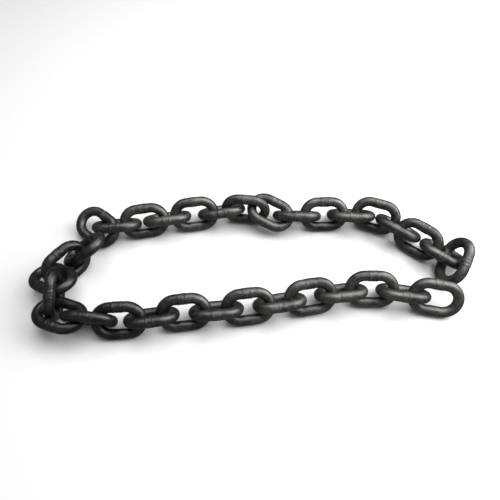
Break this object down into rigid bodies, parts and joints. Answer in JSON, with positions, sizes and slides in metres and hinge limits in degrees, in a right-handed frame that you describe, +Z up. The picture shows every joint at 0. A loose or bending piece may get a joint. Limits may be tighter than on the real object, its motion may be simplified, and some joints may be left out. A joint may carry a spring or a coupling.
{
  "type": "lifting chain",
  "caption": "Length of dark steel short-link lifting chain laid on the floor in a long open loop, its round-bar links threaded through each other and leaning left and right in turn.",
  "frame": {"origin": "on the floor, under the middle of the chain's bounding box", "axes": "+X to the right along the long way of the loop, +Y to the back, from the front row to the far row, +Z up"},
  "size_m": [0.416, 0.1586, 0.0429],
  "materials": {
    "blackened_steel": "black oxide skin with a soft satin sheen"
  },
  "bodies": {
    "root": {"link_01": "blackened_steel", "link_02": "blackened_steel", "link_03": "blackened_steel", "link_04": "blackened_steel", "link_05": "blackened_steel", "link_06": "blackened_steel", "link_07": "blackened_steel", "link_08": "blackened_steel", "link_09": "blackened_steel", "link_10": "blackened_steel", "link_11": "blackened_steel", "link_12": "blackened_steel", "link_13": "blackened_steel", "link_14": "blackened_steel", "link_15": "blackened_steel", "link_16": "blackened_steel", "link_17": "blackened_steel", "link_18": "blackened_steel", "link_19": "blackened_steel", "link_20": "blackened_steel", "link_21": "blackened_steel", "link_22": "blackened_steel", "link_23": "blackened_steel", "link_24": "blackened_steel", "link_25": "blackened_steel", "link_26": "blackened_steel", "link_27": "blackened_steel", "link_28": "blackened_steel", "link_29": "blackened_steel", "link_30": "blackened_steel", "link_31": "blackened_steel", "link_32": "blackened_steel", "link_33": "blackened_steel"}
  },
  "joints": []
}
